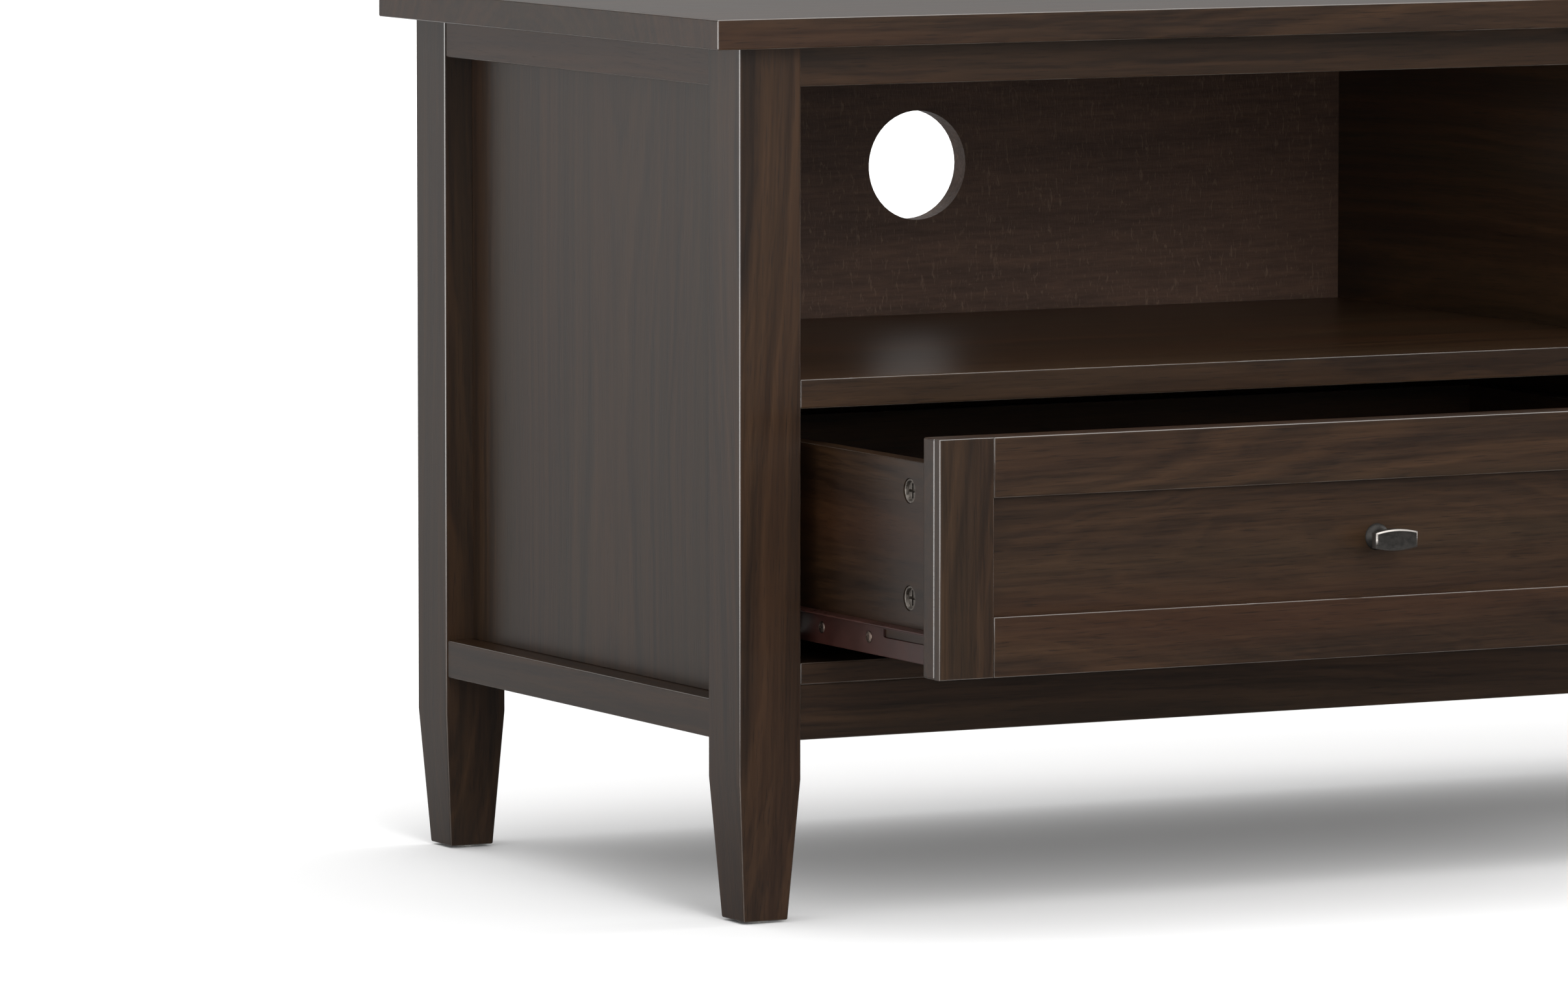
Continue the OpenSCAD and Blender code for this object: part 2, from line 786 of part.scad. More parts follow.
drawer_stile(LEFT, RIGHT);  // left_drawer_stile_b
drawer_front_rail(LEFT, false);  // left_drawer_top_rail
drawer_front_rail(LEFT, true);  // left_drawer_bottom_rail
drawer_side(LEFT, LEFT);  // left_drawer_side_a
drawer_side(LEFT, RIGHT);  // left_drawer_side_b
drawer_back(LEFT);  // left_drawer_back
drawer_bottom(LEFT);  // left_drawer_bottom
drawer_runner_on(LEFT, LEFT);  // left_drawer_runner_a
drawer_runner_on(LEFT, RIGHT);  // left_drawer_runner_b
drawer_rollers(LEFT);  // left_drawer_rollers
drawer_cams(LEFT);  // left_drawer_cams
drawer_screws(LEFT);  // left_drawer_screws
drawer_knob(LEFT);  // left_drawer_knob
drawer_panel(RIGHT);  // right_drawer_panel
drawer_stile(RIGHT, LEFT);  // right_drawer_stile_a
drawer_stile(RIGHT, RIGHT);  // right_drawer_stile_b
drawer_front_rail(RIGHT, false);  // right_drawer_top_rail
drawer_front_rail(RIGHT, true);  // right_drawer_bottom_rail
drawer_side(RIGHT, LEFT);  // right_drawer_side_a
drawer_side(RIGHT, RIGHT);  // right_drawer_side_b
drawer_back(RIGHT);  // right_drawer_back
drawer_bottom(RIGHT);  // right_drawer_bottom
drawer_runner_on(RIGHT, LEFT);  // right_drawer_runner_a
drawer_runner_on(RIGHT, RIGHT);  // right_drawer_runner_b
drawer_rollers(RIGHT);  // right_drawer_rollers
drawer_cams(RIGHT);  // right_drawer_cams
drawer_screws(RIGHT);  // right_drawer_screws
drawer_knob(RIGHT);  // right_drawer_knob
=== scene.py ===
"""Looks of the media cabinet: eased and stained boards, runners, fasteners, knobs and a pale studio."""
import json
import math
import random

import bmesh
import bpy
from mathutils import Matrix, Vector


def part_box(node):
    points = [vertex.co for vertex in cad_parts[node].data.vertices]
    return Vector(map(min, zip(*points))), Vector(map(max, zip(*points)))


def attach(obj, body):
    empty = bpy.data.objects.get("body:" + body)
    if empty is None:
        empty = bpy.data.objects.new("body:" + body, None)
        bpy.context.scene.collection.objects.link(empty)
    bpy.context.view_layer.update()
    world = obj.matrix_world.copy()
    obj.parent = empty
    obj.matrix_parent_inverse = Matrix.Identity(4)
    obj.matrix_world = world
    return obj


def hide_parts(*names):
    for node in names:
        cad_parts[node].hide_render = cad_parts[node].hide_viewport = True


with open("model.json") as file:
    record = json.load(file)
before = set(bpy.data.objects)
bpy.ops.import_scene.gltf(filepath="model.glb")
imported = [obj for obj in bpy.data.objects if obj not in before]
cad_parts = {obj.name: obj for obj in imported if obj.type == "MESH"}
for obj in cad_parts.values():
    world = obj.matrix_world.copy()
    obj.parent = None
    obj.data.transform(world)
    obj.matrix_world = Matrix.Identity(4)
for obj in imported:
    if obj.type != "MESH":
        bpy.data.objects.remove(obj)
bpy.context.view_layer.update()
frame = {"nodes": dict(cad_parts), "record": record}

MM = 0.001
RECORD = frame["record"]
SLOT_OF = {s["node"]: s["material_slot"] for s in RECORD["subparts"]}
BODY_OF = {n: b for b, nodes in RECORD["behaviour"]["bodies"].items() for n in nodes}
SIDES = ("left", "right")

# Camera: it looks at the front left post from the front left, a little from above
CAMERA_AZIMUTH = math.radians(27.38)
CAMERA_DOWN = math.radians(5.36)
CAMERA_DISTANCE = 6.24
CAMERA_LENS = 241.8
CAMERA_AIM_IN = 29.6 * MM
CAMERA_AIM_UP = 258.8 * MM

CAMERA_SENSOR = 36.0
CAMERA_CLIP = (0.1, 200.0)

# Cleaning a CAD mesh: points this near are one point, and faces this flat are one face
SAME_POINT = 0.001 * MM
SAME_FACE = math.radians(0.4)

# A fastener's points this near its end belong to the end
AT_END = 0.05 * MM

# Eased edges: which are eased, how wide, and how far from an axis the middle face's normal turns
EDGE_STEPS = 3
SHARP = math.radians(40)
LONG_EDGE = 11 * MM
EASE_SOLID = 1.1 * MM
EASE_THIN = 0.6 * MM
EASE_STEEL = 0.45 * MM
MIDDLE_NORMAL = 0.9

# Angles over which an edge is shaded sharp
BOARD_CREASE = math.radians(50)
ROLLER_CREASE = math.radians(35)
METAL_CREASE = math.radians(30)
KNOB_CREASE = math.radians(60)

# Painted highlight: the light colour given to the middles of the eased edges; painted fill light: how
# much lighter the inner faces of the open compartment are made
EDGE_HIGHLIGHT_COLOUR = (0.085, 0.072, 0.062)
FILL_LIGHT_LIFT = 1.9

# Floor: how reflections show it, dim and then bright over a distance behind the cabinet, and a card
# that only reflections show, which comes up over a distance to the left
FLOOR_HALF = 60.0
FLOOR_COLOUR = (0.9, 0.9, 0.9, 1)
BEHIND_TOWARD = (-0.46, 0.89, 0)
BEHIND_REACH = (-0.5, 0.3)
FLOOR_REFLECTED = (0.06, 0.40)
CARD_TOWARD = (-0.884, -0.468, 0)
CARD_REACH = (1.2, 2.6)
CARD_STRENGTH = 5.0

# Sky: each light is its azimuth from the front toward the right, its height, both in degrees,
# how tight it is and how strong
BACKDROP = 1.0
SKY_LIGHT = 1.1
LIGHTS = [(-4, 21, 38, 16.0), (86, 15, 150, 80.0)]
SKY_REFLECTED = 0.17
REFLECTED_LIGHTS = [(0, 88, 5, 5.5), (-152, 4, 3, 0.22), (153, 5, 6, 0.08), (-62, 0, 8, 5.0)]


# ---------------------------------------------------------------- mesh helpers

def mesh_from(name, bm):
    """Turns bm into a mesh and frees it."""
    mesh = bpy.data.meshes.new(name)
    bm.to_mesh(mesh)
    bm.free()
    return mesh


def add_object(name, data):
    """Puts an object with this mesh or camera into the scene."""
    added = bpy.data.objects.new(name, data)
    bpy.context.scene.collection.objects.link(added)
    return added


def new_piece(node, suffix, bm):
    """Makes bm the piece that shows in place of a CAD node, on its body and with its finish."""
    piece = add_object(node + suffix, mesh_from(node + suffix, bm))
    for face in piece.data.polygons:
        face.use_smooth = True
    body, slot = BODY_OF[node], SLOT_OF[node]
    piece.data.materials.append(MATERIALS[slot])
    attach(piece, body)
    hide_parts(node)
    return piece


def weighted_normals(piece):
    """Lets the large flat faces set the shading, so that only the eased edges look round."""
    modifier = piece.modifiers.new("weighted_normals", "WEIGHTED_NORMAL")
    modifier.mode = "FACE_AREA"
    modifier.weight = 100
    modifier.keep_sharp = True


def joined_bmesh(node):
    """The CAD node's mesh with its doubled points merged."""
    bm = bmesh.new()
    bm.from_mesh(frame["nodes"][node].data)
    bmesh.ops.remove_doubles(bm, verts=bm.verts, dist=SAME_POINT)
    return bm


def clean_bmesh(node):
    """The CAD node's mesh with its doubled points merged and its flat faces joined."""
    bm = joined_bmesh(node)
    bmesh.ops.dissolve_limit(bm, angle_limit=SAME_FACE, verts=bm.verts, edges=bm.edges)
    return bm


def ease_edges(bm, width, shortest=LONG_EDGE):
    """Rounds the long sharp outer edges of bm, and returns the narrow faces along their middles."""
    edges = [
        e for e in bm.edges
        if len(e.link_faces) == 2 and e.is_convex
        and e.calc_face_angle() > SHARP and e.calc_length() > shortest
    ]
    rounded = bmesh.ops.bevel(bm, geom=edges, offset=width, segments=EDGE_STEPS, profile=0.5,
                              affect="EDGES", clamp_overlap=True)
    bm.normal_update()
    return [f for f in rounded["faces"] if max(abs(c) for c in f.normal) < MIDDLE_NORMAL]


def mark_sharp(bm, angle):
    """Shades an edge sharp where its faces turn by more than angle."""
    for e in bm.edges:
        if len(e.link_faces) == 2 and e.calc_face_angle() > angle:
            e.smooth = False


def placed(at, along):
    """The matrix that carries the origin to at and turns +Z to the direction along."""
    return Matrix.Translation(at) @ Vector(along).to_track_quat("Z", "Y").to_matrix().to_4x4()


def lathe(bm, profile, at, along, steps):
    """Turns profile, a list of (distance along, radius), round the line from at in direction along."""
    turn = Vector(along).to_track_quat("Z", "Y")
    rings = []
    for distance, radius in profile:
        ring = []
        for i in range(steps):
            angle = math.tau * i / steps
            point = Vector((radius * math.cos(angle), radius * math.sin(angle), distance))
            ring.append(bm.verts.new(Vector(at) + turn @ point))
        rings.append(ring)
    for a, b in zip(rings, rings[1:]):
        for i in range(steps):
            j = (i + 1) % steps
            bm.faces.new((a[i], a[j], b[j], b[i]))
    bm.faces.new(rings[0][::-1])
    bm.faces.new(rings[-1])


def islands(node):
    """The separate solids of a CAD node, each as its box's two corners and its points."""
    bm = joined_bmesh(node)
    left = set(bm.verts)
    found = []
    while left:
        stack = [left.pop()]
        points = []
        while stack:
            v = stack.pop()
            points.append(v.co.copy())
            for e in v.link_edges:
                other = e.other_vert(v)
                if other in left:
                    left.remove(other)
                    stack.append(other)
        low = Vector([min(p[i] for p in points) for i in range(3)])
        high = Vector([max(p[i] for p in points) for i in range(3)])
        found.append((low, high, points))
    bm.free()
    return sorted(found, key=lambda f: [round(c, 5) for c in (f[0] + f[1])])


def fastener_line(low, high, points):
    """The end of a fastener's head, the direction from there to its tip, its length and two radii."""
    size = high - low
    axis = max(range(3), key=lambda i: size[i])
    centre = (low + high) / 2

    def radius_at(end):
        near = [p for p in points if abs(p[axis] - end) < AT_END]
        return max(math.hypot(*[(p - centre)[i] for i in range(3) if i != axis]) for p in near)

    low_r, high_r = radius_at(low[axis]), radius_at(high[axis])
    start = centre.copy()
    start[axis] = low[axis] if low_r > high_r else high[axis]
    direction = Vector((0, 0, 0))
    direction[axis] = 1 if low_r > high_r else -1
    return start, direction, size[axis], max(low_r, high_r), min(low_r, high_r)


# ---------------------------------------------------------------- material helpers

class Nodes:
    """A small builder for a shader node tree."""

    def __init__(self, tree):
        self.tree = tree
        tree.nodes.clear()

    def add(self, kind, inputs=None, **settings):
        node = self.tree.nodes.new(kind)
        for key, value in settings.items():
            setattr(node, key, value)
        for key, value in (inputs or {}).items():
            self.put(node.inputs[key], value)
        return node

    def put(self, socket, value):
        if isinstance(value, bpy.types.NodeSocket):
            self.tree.links.new(value, socket)
        else:
            socket.default_value = value

    def maths(self, operation, a, b=0.0, c=0.0):
        return self.add("ShaderNodeMath", {0: a, 1: b, 2: c}, operation=operation).outputs[0]

    def dot(self, a, b):
        return self.add("ShaderNodeVectorMath", {0: a, 1: b}, operation="DOT_PRODUCT").outputs["Value"]

    def attribute(self, name, output="Fac"):
        return self.add("ShaderNodeAttribute", attribute_name=name).outputs[output]

    def place(self):
        """The point's place in the object's own frame."""
        return self.add("ShaderNodeTexCoord").outputs["Object"]

    def noise(self, vector, scale, detail=2.0, roughness=0.5, stretch=None, distortion=0.0):
        if stretch is not None:
            stretched = self.add("ShaderNodeVectorMath", {0: vector, 1: stretch}, operation="MULTIPLY")
            vector = stretched.outputs[0]
        return self.add("ShaderNodeTexNoise", {
            "Vector": vector, "Scale": scale, "Detail": detail, "Roughness": roughness,
            "Distortion": distortion}).outputs["Fac"]

    def remap(self, value, low, high, to_low=0.0, to_high=1.0, smooth=False):
        kind = "SMOOTHSTEP" if smooth else "LINEAR"
        return self.add("ShaderNodeMapRange", {
            "Value": value, "From Min": low, "From Max": high, "To Min": to_low, "To Max": to_high},
            interpolation_type=kind).outputs["Result"]

    def mix(self, factor, a, b, blend="MIX"):
        node = self.add("ShaderNodeMix", data_type="RGBA", blend_type=blend)
        self.put(node.inputs[0], factor)
        self.put(node.inputs[6], a)
        self.put(node.inputs[7], b)
        return node.outputs[2]

    def ramp(self, factor, stops):
        node = self.add("ShaderNodeValToRGB", {"Fac": factor})
        elements = node.color_ramp.elements
        while len(elements) < len(stops):
            elements.new(0.5)
        for element, (position, colour) in zip(elements, stops):
            element.position = position
            element.color = (*colour, 1)
        return node.outputs["Color"]

    def bump(self, height, distance, strength=1.0):
        return self.add("ShaderNodeBump", {
            "Height": height, "Distance": distance, "Strength": strength}).outputs["Normal"]

    def surface(self, **inputs):
        shader = self.add("ShaderNodeBsdfPrincipled")
        for key, value in inputs.items():
            self.put(shader.inputs[key.replace("_", " ")], value)
        output = self.add("ShaderNodeOutputMaterial")
        self.tree.links.new(shader.outputs[0], output.inputs["Surface"])
        return shader


def material(name):
    made = bpy.data.materials.new(name)
    made.use_nodes = True
    return made, Nodes(made.node_tree)


# A board's grain attribute: X along the grain, Y across the face and Z through the board, in metres.
# The rings' centre line wanders from side to side and in depth, and each ring ripples
RING_SWAY = 0.10
RING_DIVE = 0.07
RING_RIPPLE = 0.008
RING_STRETCH = 0.4
RINGS_PER_METRE = 230.0
PITH_DEPTH = 0.055


def growth_rings(n, grain, per_metre, pith_depth):
    """Rings round a wandering pith behind the board's face, which cuts them in lines and arches."""
    sway = n.noise(grain, 1.0, 1.0, 0.5, stretch=(1.5, 3.0, 3.0))
    sway = n.maths("MULTIPLY_ADD", sway, RING_SWAY, -RING_SWAY / 2)
    dive = n.noise(grain, 1.0, 0.0, 0.5, stretch=(1.9, 1.0, 1.0))
    dive = n.maths("MULTIPLY_ADD", dive, RING_DIVE, pith_depth - RING_DIVE / 2)
    ripple = n.noise(grain, 1.0, 3.0, 0.6, stretch=(13.0, 70.0, 70.0))
    ripple = n.maths("MULTIPLY_ADD", ripple, RING_RIPPLE, -RING_RIPPLE / 2)
    part = n.add("ShaderNodeSeparateXYZ", {0: grain})
    across = n.maths("ADD", part.outputs[1], sway)
    deep = n.maths("ADD", part.outputs[2], dive)
    radius = n.maths("SQRT", n.maths("ADD", n.maths("MULTIPLY", across, across),
                                     n.maths("MULTIPLY", deep, deep)))
    radius = n.maths("ADD", radius, ripple)
    slow = n.maths("MULTIPLY", part.outputs[0], RING_STRETCH)
    where = n.add("ShaderNodeCombineXYZ", {0: n.maths("MULTIPLY", radius, per_metre), 1: slow})
    return n.noise(where.outputs[0], 1.0, 3.0, 0.62)


def walnut(name, edge_highlight):
    """Dark stained walnut under a satin lacquer, or its eased edges' middles, glossy and smooth with a
    painted highlight. Inner faces are painted lighter as fill light.
    """
    made, n = material(name)
    grain = n.attribute("grain", "Vector")
    pale = n.attribute("pale")
    rings = growth_rings(n, grain, RINGS_PER_METRE, PITH_DEPTH)
    streaks = n.noise(grain, 1.0, 3.0, 0.6, stretch=(3.0, 150.0, 150.0), distortion=0.3)
    fibres = n.noise(grain, 1.0, 3.0, 0.65, stretch=(14.0, 520.0, 520.0))
    clouds = n.noise(grain, 1.0, 2.0, 0.5, stretch=(1.1, 16.0, 16.0))
    pores = n.remap(n.noise(grain, 1.0, 1.0, 0.5, stretch=(60.0, 1300.0, 1300.0)), 0.60, 0.72)
    tone = n.maths("MULTIPLY", rings, 0.48)
    tone = n.maths("MULTIPLY_ADD", streaks, 0.28, tone)
    tone = n.maths("MULTIPLY_ADD", fibres, 0.24, tone)
    colour = n.ramp(tone, [
        (0.36, (0.0085, 0.0046, 0.0028)),
        (0.46, (0.0158, 0.0081, 0.0042)),
        (0.53, (0.0226, 0.0113, 0.0054)),
        (0.64, (0.0325, 0.0160, 0.0072)),
    ])
    red = n.remap(clouds, 0.54, 0.72, 0, 0.35)
    colour = n.mix(red, colour, (0.0370, 0.0135, 0.0055, 1))
    olive = n.remap(clouds, 0.46, 0.30, 0, 0.35)
    colour = n.mix(olive, colour, (0.0200, 0.0135, 0.0068, 1))
    colour = n.mix(n.maths("MULTIPLY", pores, 0.55), colour, (0.0050, 0.0030, 0.0022, 1))
    # Painted fill light: the inner boards' faces are made lighter by the lift factor.
    lift = n.maths("MULTIPLY_ADD", pale, FILL_LIGHT_LIFT - 1, 1.0)
    colour = n.add("ShaderNodeVectorMath", {0: colour, "Scale": lift}, operation="SCALE").outputs[0]
    rough = n.maths("MULTIPLY_ADD", fibres, 0.10, 0.25)
    gloss = 0.28
    if edge_highlight:
        # Painted highlight: the middle faces of the eased edges are mixed toward a light colour, broken
        # up along the edge by noise.
        highlight_breakup = n.noise(grain, 1.0, 2.0, 0.6, stretch=(35.0, 90.0, 90.0))
        colour = n.mix(n.remap(highlight_breakup, 0.32, 0.62, 0.25, 0.8), colour, (*EDGE_HIGHLIGHT_COLOUR, 1))
        rough = n.maths("MULTIPLY_ADD", highlight_breakup, 0.10, 0.10)
        gloss = 1.0
    height = n.maths("MULTIPLY_ADD", pores, -0.8, fibres)
    n.surface(Base_Color=colour, Roughness=rough, Specular_IOR_Level=gloss,
              Normal=n.bump(height, 0.04 * MM, 0.5))
    return made


def rough_board():
    """The same stain on an open, coarse-grained board, with short scuffs across the grain."""
    made, n = material("coarse_board")
    grain = n.attribute("grain", "Vector")
    streaks = n.noise(grain, 1.0, 3.0, 0.6, stretch=(5.0, 60.0, 60.0), distortion=0.4)
    fibres = n.noise(grain, 1.0, 3.0, 0.65, stretch=(45.0, 380.0, 380.0))
    flecks = n.noise(grain, 1.0, 2.0, 0.6, stretch=(520.0, 130.0, 130.0), distortion=0.8)
    light = n.remap(flecks, 0.58, 0.72)
    tone = n.maths("MULTIPLY_ADD", streaks, 0.5, n.maths("MULTIPLY", fibres, 0.5))
    colour = n.ramp(tone, [
        (0.32, (0.0360, 0.0200, 0.0135)),
        (0.50, (0.0560, 0.0310, 0.0205)),
        (0.68, (0.0800, 0.0440, 0.0280)),
    ])
    colour = n.mix(n.maths("MULTIPLY", light, 0.45), colour, (0.150, 0.100, 0.070, 1))
    height = n.maths("MULTIPLY_ADD", flecks, 1.1, fibres)
    n.surface(Base_Color=colour, Roughness=n.remap(flecks, 0.3, 0.7, 0.42, 0.6),
              Specular_IOR_Level=0.2, Normal=n.bump(height, 0.35 * MM, 0.9))
    return made


def beech():
    """Raw beech of the dowels."""
    made, n = material("raw_beech")
    place = n.place()
    flecks = n.noise(place, 900.0, 3.0, 0.6)
    colour = n.ramp(flecks, [(0.35, (0.38, 0.25, 0.14)), (0.65, (0.58, 0.42, 0.26))])
    n.surface(Base_Color=colour, Roughness=n.remap(flecks, 0.3, 0.7, 0.55, 0.75))
    return made


def coated_steel():
    """Red-brown epoxy powder coat of the runners."""
    made, n = material("coated_steel")
    place = n.place()
    peel = n.noise(place, 1400.0, 2.0, 0.5)
    blotch = n.noise(place, 45.0, 3.0, 0.6)
    colour = n.ramp(blotch, [(0.3, (0.022, 0.0078, 0.0062)), (0.7, (0.037, 0.0128, 0.0098))])
    n.surface(Base_Color=colour, Roughness=n.remap(blotch, 0.3, 0.7, 0.26, 0.38), Specular_IOR_Level=0.35,
              Normal=n.bump(peel, 0.03 * MM, 0.6))
    return made


def nylon():
    """White moulded nylon of the rollers and glides, with scuffs."""
    made, n = material("white_nylon")
    place = n.place()
    scuffs = n.noise(place, 600.0, 4.0, 0.65)
    colour = n.ramp(scuffs, [(0.3, (0.60, 0.59, 0.55)), (0.7, (0.74, 0.73, 0.70))])
    n.surface(Base_Color=colour, Roughness=n.remap(scuffs, 0.3, 0.7, 0.35, 0.55),
              Normal=n.bump(scuffs, 0.02 * MM, 0.5))
    return made


def plated_metal(name, dark, light, rough, scale):
    """Plated or cast metal whose tone and polish vary from place to place."""
    made, n = material(name)
    place = n.place()
    blotch = n.noise(place, scale, 4.0, 0.6)
    fine = n.noise(place, scale * 9, 2.0, 0.5)
    n.surface(Base_Color=n.ramp(blotch, [(0.35, dark), (0.65, light)]), Metallic=1.0,
              Roughness=n.remap(blotch, 0.3, 0.7, *rough),
              Normal=n.bump(fine, 0.02 * MM, 0.5))
    return made


def pewter_wear_and_highlights():
    """Dark pewter. It is bright, more metallic and smoother along the head's rims, where the rim
    attribute is high, which is partly rubbed metal and partly a painted highlight. It is lighter on the
    head's ends as painted light on the end faces.
    """
    made, n = material("pewter_wear_and_highlights")
    place = n.place()
    wear_and_highlight = n.attribute("wear_and_highlight")
    blotch = n.noise(place, 420.0, 4.0, 0.65)
    fine = n.noise(place, 2600.0, 2.0, 0.5)
    # Partly rubbed pewter and partly a painted highlight: the head's rims are mixed toward a bright, more
    # metallic, smoother colour.
    edge_highlight = n.remap(n.maths("MULTIPLY_ADD", blotch, 0.3, wear_and_highlight), 0.75, 1.0, smooth=True)
    dark = n.ramp(blotch, [(0.35, (0.0100, 0.0088, 0.0074)), (0.68, (0.0210, 0.0185, 0.0158))])
    # Painted light: the head's end faces are made lighter grey to stand for the light falling on them.
    end = n.attribute("end")
    dark = n.mix(n.maths("MULTIPLY", end, 0.8), dark, (0.052, 0.045, 0.040, 1))
    colour = n.mix(edge_highlight, dark, (0.30, 0.28, 0.26, 1))
    rough = n.maths("MULTIPLY_ADD", edge_highlight, -0.20, n.remap(blotch, 0.3, 0.7, 0.42, 0.58))
    n.surface(Base_Color=colour, Metallic=n.maths("MULTIPLY_ADD", edge_highlight, 0.6, 0.4), Roughness=rough,
              Specular_IOR_Level=0.4,
              Normal=n.bump(n.maths("MULTIPLY_ADD", fine, 0.4, blotch), 0.12 * MM, 0.5))
    return made


MATERIALS = {
    "stained_wood": walnut("stained_walnut", False),
    "back_board": rough_board(),
    "dowel_wood": beech(),
    "runner_steel": coated_steel(),
    "roller_nylon": nylon(),
    "glide_plastic": nylon(),
    "screw_steel": plated_metal("bronzed_steel", (0.10, 0.075, 0.062), (0.20, 0.155, 0.130),
                                (0.30, 0.48), 500.0),
    "cam_zinc": plated_metal("cast_zinc", (0.075, 0.066, 0.058), (0.20, 0.18, 0.16),
                             (0.35, 0.55), 700.0),
    "knob_metal": pewter_wear_and_highlights(),
}
# Walnut with the painted highlight for the middles of the eased edges
EDGE_HIGHLIGHT_WALNUT = walnut("walnut_edge_highlight", True)


# ---------------------------------------------------------------- boards

# Which way the grain runs in each board, and how round its edges are
ACROSS, DEEP, UP = 0, 1, 2
BOARDS = {
    "top_panel": (ACROSS, EASE_SOLID), "top_apron": (ACROSS, EASE_SOLID),
    "bottom_apron": (ACROSS, EASE_SOLID), "rear_rail": (ACROSS, EASE_SOLID),
    "centre_stile": (UP, EASE_SOLID), "centre_divider": (DEEP, EASE_THIN),
    "runner_battens": (DEEP, EASE_THIN), "bottom_board": (ACROSS, EASE_SOLID),
}
for name in ("front_left", "front_right", "rear_left", "rear_right"):
    BOARDS[name + "_post"] = (UP, EASE_SOLID)
for side in SIDES:
    BOARDS.update({
        side + "_top_rail": (DEEP, EASE_SOLID), side + "_bottom_rail": (DEEP, EASE_SOLID),
        side + "_side_panel": (UP, EASE_THIN), side + "_shelf": (ACROSS, EASE_SOLID),
        side + "_back_panel": (ACROSS, EASE_THIN),
        side + "_drawer_panel": (ACROSS, EASE_SOLID),
        side + "_drawer_stile_a": (UP, EASE_SOLID), side + "_drawer_stile_b": (UP, EASE_SOLID),
        side + "_drawer_top_rail": (ACROSS, EASE_SOLID),
        side + "_drawer_bottom_rail": (ACROSS, EASE_SOLID),
        side + "_drawer_side_a": (DEEP, EASE_THIN), side + "_drawer_side_b": (DEEP, EASE_THIN),
        side + "_drawer_back": (ACROSS, EASE_THIN), side + "_drawer_bottom": (ACROSS, EASE_THIN),
    })

# Boards whose faces are painted lighter as fill light in the open compartment, but for their front edges,
# whose normals' Y is below this
INNER_BOARDS = ("shelf", "centre_divider")
FRONT_NORMAL = -0.5

# Where in the log a board may start, along, across and through it, and how far its grain may lean
LOG_ALONG = (0, 40)
LOG_ACROSS = (-0.05, 0.05)
LOG_THROUGH = (0, 0.03)
GRAIN_LEAN = 1.3


def write_grain(piece, along, node):
    """Stores each point's place in the board's own grain, which starts at a random spot in the log."""
    pick = random.Random(node)
    low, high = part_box(node)
    size = high - low
    across, through = sorted((i for i in range(3) if i != along), key=lambda i: -size[i])
    start = Vector((pick.uniform(*LOG_ALONG), pick.uniform(*LOG_ACROSS), pick.uniform(*LOG_THROUGH)))
    lean = math.radians(pick.uniform(-GRAIN_LEAN, GRAIN_LEAN))
    centre = (low + high) / 2
    attribute = piece.data.attributes.new("grain", "FLOAT_VECTOR", "POINT")
    for point, value in zip(piece.data.vertices, attribute.data):
        p = point.co - centre
        u = p[along] * math.cos(lean) - p[across] * math.sin(lean)
        v = p[along] * math.sin(lean) + p[across] * math.cos(lean)
        value.vector = start + Vector((u, v, p[through]))


def make_board(node, along, ease):
    """The board with its edges eased, their middles given the painted edge highlight, and painted lighter
    as fill light where it is an inner board's face.
    """
    bm = clean_bmesh(node)
    middles = ease_edges(bm, ease)
    stained = SLOT_OF[node] == "stained_wood"
    # The eased edges' middles take the second material, which has the painted highlight.
    if stained:
        for face in middles:
            face.material_index = 1
    # Painted fill light: the inner boards' faces, but for their front edges, are marked to be made
    # lighter.
    pale = bm.faces.layers.float.new("pale")
    if node.endswith(INNER_BOARDS):
        for face in bm.faces:
            face[pale] = float(face.normal.y > FRONT_NORMAL)
    mark_sharp(bm, BOARD_CREASE)
    piece = new_piece(node, "_eased", bm)
    if stained:
        piece.data.materials.append(EDGE_HIGHLIGHT_WALNUT)
    write_grain(piece, along, node)
    weighted_normals(piece)


for node, (along, ease) in BOARDS.items():
    make_board(node, along, ease)


# ---------------------------------------------------------------- runners and rollers

def make_runner(node):
    """The folded steel with its bends rounded."""
    bm = clean_bmesh(node)
    ease_edges(bm, EASE_STEEL)
    mark_sharp(bm, BOARD_CREASE)
    weighted_normals(new_piece(node, "_folded", bm))


RIGHTWARD, BACKWARD, UPWARD = (1, 0, 0), (0, 1, 0), (0, 0, 1)
ROLLER_STEPS = 40
ROLLER_HUB = 0.42
ROLLER_WEB_IN = 0.14


def make_rollers(node):
    """Moulded wheels: a crowned tread, a hub, and a web between them."""
    bm = bmesh.new()
    for low, high, _ in islands(node):
        size = high - low
        centre = (low + high) / 2
        width, radius = size.x, size.z / 2
        hub, web = ROLLER_HUB * radius, ROLLER_WEB_IN * width
        lathe(bm, [
            (web, hub * 0.62), (0, hub * 0.62), (0, hub), (web, hub * 1.08),
            (web, radius * 0.80), (0, radius * 0.84), (0, radius * 0.94), (0.07 * width, radius),
            (0.93 * width, radius), (width, radius * 0.94), (width, radius * 0.84),
            (width - web, radius * 0.80), (width - web, hub * 1.08), (width, hub),
            (width, hub * 0.62), (width - web, hub * 0.62),
        ], (low.x, centre.y, centre.z), RIGHTWARD, ROLLER_STEPS)
    mark_sharp(bm, ROLLER_CREASE)
    new_piece(node, "_moulded", bm)


for side in SIDES:
    for name in ("bay_runners", "drawer_runner_a", "drawer_runner_b"):
        make_runner(f"{side}_{name}")
    for name in ("bay_rollers", "drawer_rollers"):
        make_rollers(f"{side}_{name}")


# ---------------------------------------------------------------- screws, cams and glides

